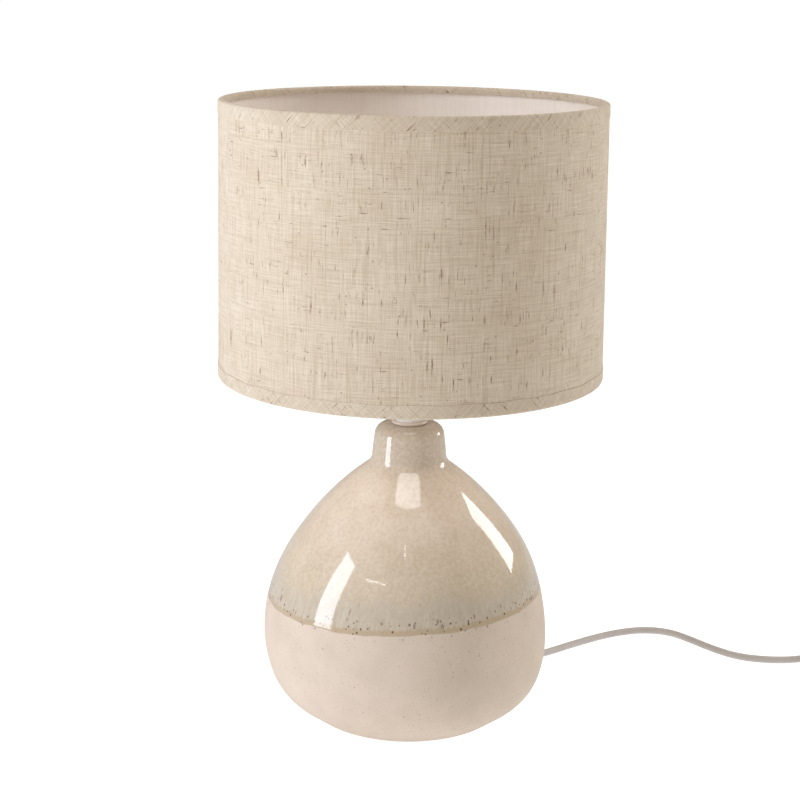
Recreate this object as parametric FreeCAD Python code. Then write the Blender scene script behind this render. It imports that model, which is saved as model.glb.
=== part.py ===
"""Table lamp: a glazed stoneware bottle base under a tapered linen drum shade.

Millimetres, +Z up, origin on the table under the middle of the base. The front faces -Y. The flexible
lead leaves the lower wall at the back right, lies on the table to an in-line rocker switch, and what is
left of it is wound into a tied coil with the plug beside it. Every function below makes one sub-part.
"""
import FreeCAD, Part
import math
import os
from FreeCAD import Vector

# Shade
SHADE_TOP = 409.0
SHADE_BOTTOM = 233.0
SHADE_TOP_RADIUS = 123.0
SHADE_BOTTOM_RADIUS = 125.0
TAPE = 0.45
FABRIC = 0.7
LINER = 0.5
TAPE_OUTSIDE_HEIGHT = 8.5
TAPE_INSIDE_HEIGHT = 4.2
WIRE = 1.5
ARM_ANGLES = (90, 210, 330)

# Stoneware base: each outline arc is its radius and the angle from upright that it ends at
FELT = 1.5
WALL = 5.0
EQUATOR_RADIUS = 94.8
EQUATOR_HEIGHT = 55.0
SHOULDER_ARC = (122.0, 33.0)
UPPER_SHOULDER_ARC = (190.0, 53.0)
SHOULDER_CONE = 2.4
NECK_FILLET_ARC = (9.6, 5.7)
NECK_EDGE_RADIUS = 8.0
BELLY_ARC = (79.0, 19.0)
FOOT_ARC = (38.6, 54.0)
NECK_TOP = 199.0
NECK_HOLE = 5.3
FOOT_HOLE = 45.0
COVER_SEAT_RADIUS = 50.0
COVER_THICKNESS = 3.0

# Lampholder
SEAT_HEIGHT = 239.0
SKIRT_TOP = 253.0
SKIRT_RADIUS = 19.3
SKIRT_BORE = 14.2
CARRIER_THICKNESS = 2.0
SOCKET_BOTTOM = 226.0

# Bulb
CAP_RADIUS = 13.2
BULB_RADIUS = 30.0
BULB_HEIGHT = 108.0

# Flexible lead
CORD = 2.5
LEAD_ANGLE = math.radians(41)
LEAD_DROP = math.radians(20)
LEAD_HEIGHT = 17.0
RELIEF_LENGTH = 22.0
BUSH_HOLE = 5.3
BUSH_SHANK = 5.2
BUSH_COLLAR = 7.2
BUSH_SEAT = 1.9
BUSH_LENGTH_INSIDE = 13.5
COIL_X = 450.0
COIL_Y = 47.0
COIL_OUTER_TURN = 38.0
COIL_INNER_TURN = 20.5
COIL_LAYERS = 2
TIE_ANGLE = -40.0
TIE = 0.8
TIE_WIDTH = 9.0

# In-line switch and plug
SWITCH_X = 348.0
SWITCH_Y = 82.5
SWITCH_LENGTH = 62.0
SWITCH_WIDTH = 26.0
SWITCH_SPLIT = 6.5
SWITCH_TOP = 17.0
SHELL = 2.0
ROCKER_LENGTH = 21.0
ROCKER_WIDTH = 11.0
ROCKER_PIVOT = 12.5
ROCKER_SWING = 11.2
ROCKER_TILT = 12.0
PIVOT_RADIUS = 1.0
PLUG_X = 384.4
PLUG_BODY_END = -69.0
PLUG_BODY_LENGTH = 35.0
PLUG_HEIGHT = 7.0
PLUG_RELIEF = 22.0
PIN_LENGTH = 19.0
PIN_RADIUS = 2.0
PIN_SPACING = 18.6

AXIS = Vector(0, 0, 1)
ORIGIN = Vector(0, 0, 0)


def save(name, shape):
    """Write one sub-part and say what it is."""
    shape.exportStep(f"parts/{name}.step")
    print(f"{name:22s} solids {len(shape.Solids)}  valid {shape.isValid()}  volume {shape.Volume:.0f}")


def spun(points):
    """Solid of revolution about Z from the corners (radius, height) of its section."""
    corners = [Vector(radius, 0, height) for radius, height in points]
    face = Part.Face(Part.makePolygon(corners + corners[:1]))
    return face.revolve(ORIGIN, AXIS, 360)


def ring(outer, inner, bottom, top):
    """Plain ring or sleeve about Z."""
    return spun([(inner, bottom), (outer, bottom), (outer, top), (inner, top)])


def disc(radius, bottom, top):
    """Plain disc about Z."""
    return Part.makeCylinder(radius, top - bottom, Vector(0, 0, bottom))


def rounded(shape, radius, edges):
    """Fillet the edges that the test picks."""
    return shape.makeFillet(radius, [edge for edge in shape.Edges if edges(edge)])


def box(centre_x, centre_y, length, width, bottom, top):
    """Upright box from the middle of its plan."""
    corner = Vector(centre_x - length / 2, centre_y - width / 2, bottom)
    return Part.makeBox(length, width, top - bottom, corner)


# ---------------------------------------------------------------- stoneware base

class Outline:
    """A profile drawn from tangent lines and arcs; lean is its angle from upright, towards the axis."""

    def __init__(self, radius, height, inset):
        self.inset = inset
        self.place = Vector(radius - inset, 0, height)
        self.lean = 0.0
        self.edges = []

    def arc(self, radius, lean, upward=1):
        """Turn to a new lean; a turn towards the axis is a crowned arc, the other way a hollow one."""
        side = 1 if lean > self.lean else -1
        size = radius - side * self.inset
        start, end = math.radians(self.lean), math.radians(lean)
        centre = self.place - Vector(side * size * math.cos(start), 0, upward * side * size * math.sin(start))

        def at(angle):
            return centre + Vector(side * size * math.cos(angle), 0, upward * side * size * math.sin(angle))

        self.edges.append(Part.Arc(self.place, at((start + end) / 2), at(end)).toShape())
        self.place = at(end)
        self.lean = lean

    def line(self, length, upward=1):
        """Go straight on for a length."""
        lean = math.radians(self.lean)
        end = self.place + Vector(-length * math.sin(lean), 0, upward * length * math.cos(lean))
        self.edges.append(Part.LineSegment(self.place, end).toShape())
        self.place = end

    def line_to_height(self, height, upward=1):
        """Go straight on until a height."""
        self.line(abs(height - self.place.z) / math.cos(math.radians(self.lean)), upward)


def upper_outline(inset, top):
    """Belly to neck: two crowned arcs, a short cone, a hollow fillet and the slightly tapered neck."""
    outline = Outline(EQUATOR_RADIUS, EQUATOR_HEIGHT, inset)
    outline.arc(*SHOULDER_ARC)
    outline.arc(*UPPER_SHOULDER_ARC)
    outline.line(SHOULDER_CONE)
    outline.arc(*NECK_FILLET_ARC)
    if inset:
        outline.line_to_height(top)
        return outline
    outline.line_to_height(top - NECK_EDGE_RADIUS * (1 - math.sin(math.radians(outline.lean))))
    outline.arc(NECK_EDGE_RADIUS, 90.0)
    return outline


def lower_outline(inset, bottom):
    """Belly to foot: two crowned arcs and a cone."""
    outline = Outline(EQUATOR_RADIUS, EQUATOR_HEIGHT, inset)
    outline.arc(*BELLY_ARC, upward=-1)
    outline.arc(*FOOT_ARC, upward=-1)
    outline.line_to_height(bottom, upward=-1)
    return outline


def wall_radius(height):
    """Outside radius of the lower wall on its foot arc."""
    belly_radius, belly_lean = BELLY_ARC[0], math.radians(BELLY_ARC[1])
    foot_radius = FOOT_ARC[0]
    arc_top = EQUATOR_HEIGHT - belly_radius * math.sin(belly_lean)
    sine = math.sin(belly_lean) + (arc_top - height) / foot_radius
    arc_start = EQUATOR_RADIUS - belly_radius * (1 - math.cos(belly_lean))
    return arc_start - foot_radius * (math.cos(belly_lean) - math.sqrt(1 - sine * sine))


def lead_exit():
    """Mouth of the hole for the lead, and the direction in which the lead leaves it."""
    radius = wall_radius(LEAD_HEIGHT)
    mouth = Vector(radius * math.cos(LEAD_ANGLE), radius * math.sin(LEAD_ANGLE), LEAD_HEIGHT)
    level = math.cos(LEAD_DROP)
    way = Vector(level * math.cos(LEAD_ANGLE), level * math.sin(LEAD_ANGLE), -math.sin(LEAD_DROP))
    return mouth, way


def along_lead(radius, start, end):
    """Cylinder on the exit's axis, from start to end along it."""
    mouth, way = lead_exit()
    return Part.makeCylinder(radius, end - start, mouth + way * start, way)


def ceramic_body():
    """Hollow stoneware body with a hole in its neck, an open foot and a drilled hole for the lead."""
    foot, floor = FELT, FELT + WALL
    seat, plate = FELT + COVER_THICKNESS, NECK_TOP - WALL
    up, down = upper_outline(0, NECK_TOP), lower_outline(0, foot)
    inner_up, inner_down = upper_outline(WALL, plate), lower_outline(WALL, floor)
    inside = [inner_up.place, Vector(NECK_HOLE, 0, plate), Vector(NECK_HOLE, 0, NECK_TOP), up.place]
    corners = [(FOOT_HOLE, floor), (FOOT_HOLE, seat), (COVER_SEAT_RADIUS, seat), (COVER_SEAT_RADIUS, foot)]
    under = [inner_down.place] + [Vector(radius, 0, height) for radius, height in corners] + [down.place]
    edges = up.edges + down.edges + inner_up.edges + inner_down.edges
    for corner_list in (inside, under):
        edges += [Part.LineSegment(a, b).toShape() for a, b in zip(corner_list, corner_list[1:])]
    section = Part.Face(Part.Wire(Part.__sortEdges__(edges)))
    body = section.revolve(ORIGIN, AXIS, 360)
    hole = along_lead(BUSH_HOLE, -40, 20)
    seat_for_collar = along_lead(BUSH_COLLAR + 0.15, -BUSH_SEAT, 20)
    return body.cut(hole).cut(seat_for_collar)


def cord_bush():
    """Moulded bush for the lead: a shank through the wall, a collar outside and a tapered relief."""
    mouth, way = lead_exit()
    shank = along_lead(BUSH_SHANK, -BUSH_LENGTH_INSIDE, -BUSH_SEAT)
    collar = along_lead(BUSH_COLLAR, -BUSH_SEAT, 2.0)
    taper = Part.makeCone(4.9, 3.3, RELIEF_LENGTH - 2.0, mouth + way * 2.0, way)
    bore = along_lead(CORD + 0.05, -BUSH_LENGTH_INSIDE - 1, RELIEF_LENGTH + 1)
    return shank.fuse([collar, taper]).removeSplitter().cut(bore)


def bush_nut():
    """Ring nut that holds the bush from inside the wall."""
    start, end = -13.2, -10.0
    return along_lead(8.0, start, end).cut(along_lead(BUSH_SHANK + 0.05, start, end))


def cord_stop():
    """Nylon tie on the lead inside the base, so that a pull can't reach the lampholder."""
    mouth, way = lead_exit()
    band = along_lead(CORD + 1.2, -18.0, -14.5).cut(along_lead(CORD + 0.05, -19, -14))
    head = Part.makeBox(4.5, 4.5, 3.5, Vector(CORD + 1.0, -2.25, 0))
    head.Placement = FreeCAD.Placement(mouth + way * -18.0, FreeCAD.Rotation(AXIS, way))
    return band.fuse(head).removeSplitter()


def neck_tube():
    """Threaded steel tube through the neck, plain where its thread is."""
    return ring(5.0, 3.6, 184.5, 208.5)


def neck_washer():
    """Round-edged plastic washer on top of the neck, under the lampholder."""
    washer = ring(11.9, 5.1, NECK_TOP, NECK_TOP + 2.0)
    return rounded(washer, 0.9, lambda edge: edge.BoundBox.XLength > 23 and edge.BoundBox.ZLength < 0.1)


def hex_nut(across_flats, bore, bottom, top):
    """Hexagon nut about Z."""
    corner = across_flats / math.sqrt(3)
    angles = [math.radians(60 * step) for step in range(7)]
    outline = Part.makePolygon([Vector(corner * math.cos(a), corner * math.sin(a), bottom) for a in angles])
    return Part.Face(outline).extrude(Vector(0, 0, top - bottom)).cut(disc(bore, bottom - 1, top + 1))


# ---------------------------------------------------------------- lampholder

def holder_base():
    """Lower cap of the lampholder: an entry boss that widens into the cup for the terminals."""
    bottom = NECK_TOP + 2.0
    outside = [(5.1, bottom), (9.5, bottom), (9.5, bottom + 4), (18.6, 217), (19.3, 219), (19.3, 226)]
    inside = [(17.3, 226), (17.3, 219.5), (8.2, 208), (5.1, 208)]
    return spun(outside + inside)


def holder_shell():
    """Skirt of the lampholder: the socket, a flange for the shade and the outside thread above it."""
    outside = [(SKIRT_BORE, 226), (19.3, 226), (19.3, 235), (22.5, 237), (22.5, SEAT_HEIGHT)]
    top = [(SKIRT_RADIUS, SEAT_HEIGHT), (SKIRT_RADIUS, SKIRT_TOP - 1), (SKIRT_RADIUS - 1, SKIRT_TOP)]
    return spun(outside + top + [(SKIRT_BORE, SKIRT_TOP)])


def holder_core():
    """Terminal block inside the cup, with two wire entries."""
    core = disc(12.6, 215.2, 223)
    for side in (-1, 1):
        core = core.cut(Part.makeCylinder(1.6, 5, Vector(side * 8.0, 0, 215)))
    return core


def centre_contact():
    """Sprung brass tongue under the bulb's centre contact."""
    foot = box(-4.5, 0, 5, 5, 223, 223.6)
    tongue = box(-1.0, 0, 8, 5, 223.6, 224.2)
    button = Part.makeCylinder(2.2, 0.7, Vector(0, 0, 224.2))
    return foot.fuse([tongue, button]).removeSplitter()


def side_contact():
    """Brass strip up the wall of the socket, against the bulb's screw cap."""
    foot = box(10.5, 0, 6.5, 5, 223, 223.6)
    strip = box(13.5, 0, 0.5, 5, 223, 240)
    return foot.fuse(strip).removeSplitter()


def terminal_screws():
    """Two screws in the sides of the terminal block, over the wires."""
    screws = []
    for side in (-1, 1):
        start = Vector(side * 15.2, 0, 219.5)
        head = Part.makeCylinder(1.8, 1.4, start, Vector(-side, 0, 0))
        shank = Part.makeCylinder(1.1, 1.15, start - Vector(side * 1.4, 0, 0), Vector(-side, 0, 0))
        screws.append(head.fuse(shank).removeSplitter())
    return Part.makeCompound(screws)


def lamp_wire(side):
    """One insulated wire from the end of the lead into its terminal."""
    route = [(side * 1.2, 0, 209.2), (side * 1.4, 0, 210.6), (side * 7.0, 0, 212.2), (side * 8.0, 0, 218.0)]
    return cord_tube([Vector(*point) for point in route], 0.95, "lamp wire")


# ---------------------------------------------------------------- shade

def shade_radius(height):
    """Outside radius of the shade over its tapes."""
    share = (height - SHADE_BOTTOM) / (SHADE_TOP - SHADE_BOTTOM)
    return SHADE_BOTTOM_RADIUS + share * (SHADE_TOP_RADIUS - SHADE_BOTTOM_RADIUS)


def shade_layer(outer_depth, inner_depth, bottom, top):
    """Tapered layer of the shade between two depths under its outside."""
    section = [(shade_radius(bottom) - inner_depth, bottom), (shade_radius(bottom) - outer_depth, bottom)]
    section += [(shade_radius(top) - outer_depth, top), (shade_radius(top) - inner_depth, top)]
    return spun(section)


def shade_tape(edge, inwards):
    """Bias tape folded over a rim: a band outside, a fold over the edge and a hem under the wire."""
    radius = shade_radius(edge)
    hem = radius - TAPE - FABRIC - LINER - 2 * WIRE - 0.2
    outside = edge + inwards * TAPE_OUTSIDE_HEIGHT
    inside = edge + inwards * TAPE_INSIDE_HEIGHT
    fold = edge + inwards * TAPE
    section = [(radius, edge), (shade_radius(outside), outside), (shade_radius(outside) - TAPE, outside)]
    section += [(radius - TAPE, fold), (hem, fold), (hem, inside), (hem - TAPE, inside), (hem - TAPE, edge)]
    return spun(section)


def wire_ring(edge, inwards):
    """Steel wire ring inside a folded tape."""
    height = edge + inwards * (TAPE + 0.1 + WIRE)
    radius = shade_radius(height) - TAPE - FABRIC - LINER - 0.1 - WIRE
    return Part.makeTorus(radius, WIRE, Vector(0, 0, height))


def spider_arm(angle, radius):
    """Steel wire arm welded under the carrier ring and to the bottom wire ring."""
    ring_height = SHADE_BOTTOM + TAPE + 0.1 + WIRE
    ring_radius = shade_radius(ring_height) - TAPE - FABRIC - LINER - 0.1 - WIRE
    turn = math.radians(angle)
    start = 23.4
    inner = Vector(start * math.cos(turn), start * math.sin(turn), SEAT_HEIGHT + 0.2 - WIRE)
    outer = Vector(ring_radius * math.cos(turn), ring_radius * math.sin(turn), ring_height)
    return Part.makeCylinder(radius, inner.distanceToPoint(outer), inner, outer - inner)


def carrier_ring():
    """Flat steel ring that sits on the lampholder's flange."""
    bottom = SEAT_HEIGHT + 0.05
    return ring(27.0, 20.6, bottom, bottom + CARRIER_THICKNESS)


def ring_nut():
    """Knurled plastic nut that holds the carrier ring down on the flange."""
    bottom = SEAT_HEIGHT + CARRIER_THICKNESS + 0.1
    section = [(SKIRT_RADIUS + 0.1, bottom), (26.5, bottom), (26.5, bottom + 1.8), (23.2, bottom + 2.6)]
    section += [(23.2, bottom + 9.0), (22.2, bottom + 10.0), (SKIRT_RADIUS + 0.1, bottom + 10.0)]
    nut = spun(section)
    ribs = 24
    for step in range(ribs):
        turn = 2 * math.pi * step / ribs
        groove = Vector(23.6 * math.cos(turn), 23.6 * math.sin(turn), bottom + 2.6)
        nut = nut.cut(Part.makeCylinder(0.9, 9, groove))
    return nut


# ---------------------------------------------------------------- bulb

def bulb_profile(height):
    """Outside radius of the globe at a height above the bulb's tip contact."""
    centre = BULB_HEIGHT - BULB_RADIUS
    if height >= centre:
        return math.sqrt(max(0.0, BULB_RADIUS ** 2 - (height - centre) ** 2))
    neck_height, neck_radius = 46.0, 21.0
    share = (height - neck_height) / (centre - neck_height)
    return neck_radius + (BULB_RADIUS - neck_radius) * math.sin(share * math.pi / 2)


def bulb_globe():
    """Opal plastic globe, hollow, open where it sits in the collar."""
    heights = [46, 51, 57, 64, 71, 78]
    outer = [Vector(bulb_profile(height), 0, SOCKET_BOTTOM + height) for height in heights]
    inner = [point - Vector(1.2, 0, 0) for point in outer]
    centre = Vector(0, 0, outer[-1].z)
    diagonal = Vector(math.sqrt(0.5), 0, math.sqrt(0.5))
    edges = []
    for points, radius in ((outer, BULB_RADIUS), (inner, BULB_RADIUS - 1.2)):
        side = Part.BSplineCurve()
        side.interpolate(points)
        top = centre + AXIS * radius
        edges += [side.toShape(), Part.Arc(points[-1], centre + diagonal * radius, top).toShape()]
    edges.append(Part.LineSegment(outer[0], inner[0]).toShape())
    edges.append(Part.LineSegment(centre + AXIS * BULB_RADIUS, centre + AXIS * (BULB_RADIUS - 1.2)).toShape())
    return Part.Face(Part.Wire(Part.__sortEdges__(edges))).revolve(ORIGIN, AXIS, 360)


def bulb_collar():
    """White plastic collar that holds the driver between the globe and the screw cap."""
    base = SOCKET_BOTTOM
    plug = [(0, base + 22), (12.4, base + 22), (12.4, base + 25.5)]
    flare = [(13.5, base + 25.5), (13.8, base + 27.8), (15.6, base + 31), (19.0, base + 39)]
    return spun(plug + flare + [(21.0, base + 46), (0, base + 46)])


def bulb_screw_cap():
    """Nickelled screw cap, plain where its thread is."""
    base = SOCKET_BOTTOM
    outside = [(9.5, base + 3.0), (12.0, base + 5.0), (CAP_RADIUS, base + 6.0), (CAP_RADIUS, base + 25.4)]
    inside = [(12.5, base + 25.4), (12.5, base + 6.2), (9.5, base + 3.8)]
    return spun(outside + inside)


def bulb_insulator():
    """Black glass insulator between the screw cap and the tip contact."""
    base = SOCKET_BOTTOM
    return spun([(4.6, base + 0.8), (9.4, base + 3.0), (9.4, base + 4.2), (0, base + 4.2), (0, base + 1.6),
                 (4.6, base + 1.6)])


def bulb_tip():
    """Tip contact of the bulb."""
    base = SOCKET_BOTTOM
    return spun([(0, base - 0.9), (2.6, base - 0.9), (4.5, base + 0.3), (4.5, base + 1.5), (0, base + 1.5)])


# ---------------------------------------------------------------- flexible lead

def cord_path(points):
    """Straight runs joined by the largest arcs they allow, and the radii of those arcs."""
    edges, radii, start = [], [], points[0]
    for before, corner, after in zip(points, points[1:], points[2:]):
        back, onward = before - corner, after - corner
        reach = 0.45 * min(back.Length, onward.Length)
        back.normalize()
        onward.normalize()
        turn = math.pi - back.getAngle(onward)
        radius = reach / math.tan(turn / 2)
        first, last = corner + back * reach, corner + onward * reach
        middle = back + onward
        middle.normalize()
        sagitta = radius / math.cos(turn / 2) - radius
        edges.append(Part.LineSegment(start, first).toShape())
        edges.append(Part.Arc(first, corner + middle * sagitta, last).toShape())
        radii.append(radius)
        start = last
    edges.append(Part.LineSegment(start, points[-1]).toShape())
    return Part.Wire(edges), radii


def cord_tube(points, radius, name):
    """Round cord along a path of runs and arcs."""
    path, radii = cord_path(points)
    circle = Part.Circle(points[0], points[1] - points[0], radius).toShape()
    tube = path.makePipeShell([Part.Wire([circle])], True, False)
    share = tube.Volume / (math.pi * radius ** 2 * path.Length)
    print(f"{name}: length {path.Length:.1f}, radii {[round(value) for value in radii]}, volume {share:.4f}")
    return tube


def lead_point(out, height):
    """Point on the exit's own upright plane, at a distance from the lamp's axis."""
    return Vector(out * math.cos(LEAD_ANGLE), out * math.sin(LEAD_ANGLE), height)


def lead_tip():
    """Middle of the tapered relief's open end, where the lead comes into sight."""
    mouth, way = lead_exit()
    return mouth + way * RELIEF_LENGTH


def inner_cord():
    """Lead inside the base, through the bush and up the middle into the lampholder."""
    mouth, way = lead_exit()
    route = [lead_tip(), mouth + way * -24.0]
    route += [lead_point(40, 35), lead_point(21, 54), lead_point(8, 80), lead_point(1.5, 112)]
    route += [Vector(0, 0, 145), Vector(0, 0, 208)]
    return cord_tube(route, CORD, "inner cord")


def cord_lead():
    """Free lead on the table, from the relief's tip to the in-line switch."""
    lay = CORD + 0.05
    route = [lead_tip(), lead_point(121, 3.4), lead_point(141, lay), Vector(123, 106.2, lay)]
    table = [(140.5, 119.6), (159, 131.2), (180, 138.3), (200, 133.6), (214, 117.5), (227.5, 99.8)]
    table += [(243.5, 85.4), (264.5, 80.4), (285.5, 81.8)]
    route += [Vector(x, y, lay) for x, y in table]
    switch_end = SWITCH_X - SWITCH_LENGTH / 2 + 4
    route += [Vector(303, SWITCH_Y, SWITCH_SPLIT), Vector(switch_end, SWITCH_Y, SWITCH_SPLIT)]
    return cord_tube(route, CORD, "cord lead")


def cord_mid():
    """Lead from the switch down to the table and into the coil's outermost turn."""
    lay = CORD + 0.05
    top = COIL_Y + COIL_OUTER_TURN
    switch_end = SWITCH_X + SWITCH_LENGTH / 2 - 4
    route = [Vector(switch_end, SWITCH_Y, SWITCH_SPLIT), Vector(392, SWITCH_Y, SWITCH_SPLIT)]
    route += [Vector(409, 83.4, lay), Vector(428, top, lay), Vector(447, top - 0.6, lay)]
    return cord_tube(route, CORD, "cord mid")


def cord_coil():
    """Outer shape of the put-away turns, notched below where the tie passes under them."""
    outer, inner = COIL_OUTER_TURN + CORD, COIL_INNER_TURN - CORD
    height = COIL_LAYERS * 2 * CORD
    corner = 2.0
    section = [(inner, 0), (outer - corner, 0), (outer, corner), (outer, height - corner)]
    section += [(outer - corner, height), (inner, height)]
    coil = spun(section)
    notch = box((outer + inner) / 2, 0, outer - inner + 10, TIE_WIDTH + 0.6, -1, TIE + 0.15)
    notch.rotate(ORIGIN, AXIS, TIE_ANGLE)
    coil = coil.cut(notch)
    coil.translate(Vector(COIL_X, COIL_Y, 0))
    return coil


def coil_tie():
    """Hook-and-loop strap once round all the turns."""
    outer, inner = COIL_OUTER_TURN + CORD + 0.1, COIL_INNER_TURN - CORD - 0.8
    height = COIL_LAYERS * 2 * CORD + 0.1
    middle = (outer + inner) / 2
    strap = box(middle, 0, outer - inner + 2 * TIE, TIE_WIDTH, 0, height + TIE)
    strap = rounded(strap, 1.2, lambda edge: abs(edge.tangentAt(edge.FirstParameter).y) > 0.99)
    strap = strap.cut(box(middle, 0, outer - inner, TIE_WIDTH + 2, TIE, height))
    strap.rotate(ORIGIN, AXIS, TIE_ANGLE)
    strap.translate(Vector(COIL_X, COIL_Y, 0))
    return strap


def cord_tail():
    """Last of the lead, from the coil's upper layer down to the table and round into the plug."""
    lay = CORD + 0.05
    bottom = COIL_Y - COIL_OUTER_TURN
    route = [Vector(446, bottom + 0.6, 7.5), Vector(427, bottom, 7.3), Vector(409, bottom - 0.6, 3.4)]
    route += [Vector(393.4, -0.6, lay), Vector(PLUG_X, -16.2, lay), Vector(PLUG_X, -33.2, PLUG_HEIGHT)]
    route += [Vector(PLUG_X, PLUG_BODY_END + PLUG_RELIEF, PLUG_HEIGHT)]
    return cord_tube(route, CORD, "cord tail")


# ---------------------------------------------------------------- in-line switch

def switch_block(inset, bottom, top):
    """Rounded block of the switch's plan, drawn in by an inset."""
    block = box(SWITCH_X, SWITCH_Y, SWITCH_LENGTH - 2 * inset, SWITCH_WIDTH - 2 * inset, bottom, top)
    return rounded(block, 9.0 - inset, lambda edge: abs(edge.tangentAt(edge.FirstParameter).z) > 0.99)


def switch_cord_hole():
    """Space for the lead through both ends of the switch."""
    start = Vector(SWITCH_X - SWITCH_LENGTH, SWITCH_Y, SWITCH_SPLIT)
    return Part.makeCylinder(CORD + 0.05, 2 * SWITCH_LENGTH, start, Vector(1, 0, 0))


def switch_screw_places():
    """Plan positions of the two screws that close the switch."""
    return [(SWITCH_X + side * 20.0, SWITCH_Y + side * 8.2) for side in (-1, 1)]


def switch_lower_shell():
    """Lower half of the switch's case, with its screw holes."""
    shell = switch_block(0, 0, SWITCH_SPLIT)
    shell = rounded(shell, 1.2, lambda edge: edge.BoundBox.ZMax < 0.01)
    shell = shell.cut(switch_block(SHELL, SHELL, SWITCH_SPLIT + 1)).cut(switch_cord_hole())
    for x, y in switch_screw_places():
        post = Part.makeCylinder(3.4, SWITCH_SPLIT - SHELL, Vector(x, y, SHELL))
        shell = shell.fuse(post).cut(Part.makeCylinder(1.5, SWITCH_SPLIT + 1, Vector(x, y, -1)))
        shell = shell.cut(Part.makeCylinder(2.8, 3.0, Vector(x, y, -1)))
    return shell.removeSplitter()


def pivot_cylinder(radius, length):
    """Cylinder on the rocker's pivot axis."""
    start = Vector(SWITCH_X, SWITCH_Y - length / 2, ROCKER_PIVOT)
    return Part.makeCylinder(radius, length, start, Vector(0, 1, 0))


def switch_upper_shell():
    """Upper half of the switch's case, with the rocker's window."""
    shell = switch_block(0, SWITCH_SPLIT, SWITCH_TOP)
    shell = rounded(shell, 3.5, lambda edge: edge.BoundBox.ZMin > SWITCH_TOP - 0.01)
    shell = shell.cut(switch_block(SHELL, SWITCH_SPLIT - 1, SWITCH_TOP - SHELL)).cut(switch_cord_hole())
    gap = 0.4
    length, width = 2 * (ROCKER_SWING + gap), ROCKER_WIDTH + 2 * gap
    shell = shell.cut(box(SWITCH_X, SWITCH_Y, length, width, SWITCH_TOP - 5, SWITCH_TOP + 1))
    for side in (-1, 1):
        lug = box(SWITCH_X, SWITCH_Y + side * 7.2, 5.0, 2.6, ROCKER_PIVOT - 1.8, SWITCH_TOP - SHELL)
        shell = shell.fuse(lug).cut(pivot_cylinder(PIVOT_RADIUS + 0.02, ROCKER_WIDTH + 12))
    for x, y in switch_screw_places():
        post = Part.makeCylinder(3.0, SWITCH_TOP - SHELL - SWITCH_SPLIT, Vector(x, y, SWITCH_SPLIT))
        shell = shell.fuse(post).cut(Part.makeCylinder(1.3, 5.5, Vector(x, y, SWITCH_SPLIT - 1)))
    return shell.removeSplitter()


def switch_rocker():
    """Rocker with a dished top, tipped to its off side."""
    block = box(SWITCH_X, SWITCH_Y, ROCKER_LENGTH, ROCKER_WIDTH, ROCKER_PIVOT - 2.6, ROCKER_PIVOT + 6.7)
    dish_radius = 40.0
    dish = pivot_cylinder(dish_radius, ROCKER_WIDTH + 2)
    dish.translate(Vector(0, 0, dish_radius + 5.0))
    rocker = block.common(pivot_cylinder(ROCKER_SWING, ROCKER_WIDTH)).cut(dish)
    rocker = rocker.cut(pivot_cylinder(PIVOT_RADIUS + 0.05, ROCKER_WIDTH + 2))
    rocker.rotate(Vector(SWITCH_X, SWITCH_Y, ROCKER_PIVOT), Vector(0, 1, 0), -ROCKER_TILT)
    return rocker


def switch_pivot():
    """Steel pin that the rocker tips on."""
    return pivot_cylinder(PIVOT_RADIUS, ROCKER_WIDTH + 6.0)


def switch_contacts():
    """Two brass contact blades that the rocker bridges."""
    blades = []
    for side in (-1, 1):
        foot = box(SWITCH_X + side * 10, SWITCH_Y, 8, 5, SHELL, SHELL + 0.8)
        blade = box(SWITCH_X + side * 6.4, SWITCH_Y, 0.8, 5, SHELL, 7.5)
        blades.append(foot.fuse(blade).removeSplitter())
    return Part.makeCompound(blades)


def switch_cord_clamps():
    """Two small bridges that hold the lead's jacket inside the case."""
    clamps = []
    for side in (-1, 1):
        bridge = box(SWITCH_X + side * 26.0, SWITCH_Y, 2.4, 12, SHELL, SWITCH_SPLIT + CORD + 1.5)
        clamps.append(bridge.cut(switch_cord_hole()))
    return Part.makeCompound(clamps)


def switch_screws():
    """Two screws up through the lower shell."""
    screws = []
    for x, y in switch_screw_places():
        head = Part.makeCylinder(2.6, 1.6, Vector(x, y, 0.3))
        shank = Part.makeCylinder(1.25, 8.6, Vector(x, y, 1.9))
        slot = box(x, y, 4.0, 0.7, 0, 1.0)
        screws.append(head.fuse(shank).removeSplitter().cut(slot))
    return Part.makeCompound(screws)


# ---------------------------------------------------------------- plug

def plug_body():
    """Flat moulded plug, narrower towards its pins, which point to the front."""
    back, front = PLUG_BODY_END, PLUG_BODY_END - PLUG_BODY_LENGTH
    plan = [(back, -7.0), (back, 7.0), (back - 7, 14.5), (back - 16, 17.6), (front, 16.2), (front, -16.2),
            (back - 16, -17.6), (back - 7, -14.5)]
    corners = [Vector(PLUG_X - side, y, 0.1) for y, side in plan]
    body = Part.Face(Part.makePolygon(corners + corners[:1])).extrude(Vector(0, 0, 2 * PLUG_HEIGHT - 0.2))
    return body.makeFillet(1.8, body.Edges)


def plug_relief():
    """Tapered relief moulded behind the plug's body."""
    start = Vector(PLUG_X, PLUG_BODY_END, PLUG_HEIGHT)
    return Part.makeCone(5.2, 3.2, PLUG_RELIEF, start, Vector(0, 1, 0))


def pin_places():
    """Middle of each pin's root on the plug's front face."""
    front = PLUG_BODY_END - PLUG_BODY_LENGTH
    return [Vector(PLUG_X + side * PIN_SPACING / 2, front, PLUG_HEIGHT) for side in (-1, 1)]


def plug_sleeves():
    """Insulating sleeves over the roots of the pins."""
    away = Vector(0, -1, 0)
    sleeves = [Part.makeCylinder(PIN_RADIUS, 10.0, root, away).cut(Part.makeCylinder(1.5, 10.0, root, away))
               for root in pin_places()]
    return Part.makeCompound(sleeves)


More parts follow.
